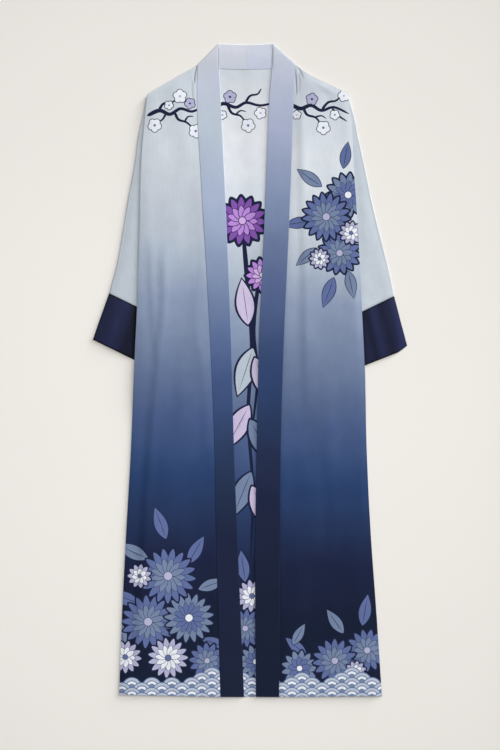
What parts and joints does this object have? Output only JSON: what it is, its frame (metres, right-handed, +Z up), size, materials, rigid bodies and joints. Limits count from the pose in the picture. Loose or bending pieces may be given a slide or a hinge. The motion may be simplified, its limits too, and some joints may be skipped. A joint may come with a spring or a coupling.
{
  "type": "kimono",
  "caption": "Long open-front kimono robe in thin silk with wide deep-cuffed sleeves and a full-length neckband, laid flat with its front up and its sleeves down.",
  "frame": {"origin": "on the surface that the robe lies on, in the middle of its outline", "axes": "+X to the wearer's left, +Y from the hem to the collar, +Z up from the surface, out of the robe's front"},
  "size_m": [0.66, 1.372, 0.0085],
  "materials": {
    "back_silk": "satin",
    "front_silk": "satin",
    "sleeve_silk": "satin",
    "cuff_silk": "satin",
    "band_silk": "satin"
  },
  "bodies": {
    "root": {"back": "back_silk", "front_right": "front_silk", "front_left": "front_silk", "sleeve_right": "sleeve_silk", "sleeve_left": "sleeve_silk", "cuff_right": "cuff_silk", "cuff_left": "cuff_silk", "neckband_right": "band_silk", "neckband_left": "band_silk"}
  },
  "joints": []
}
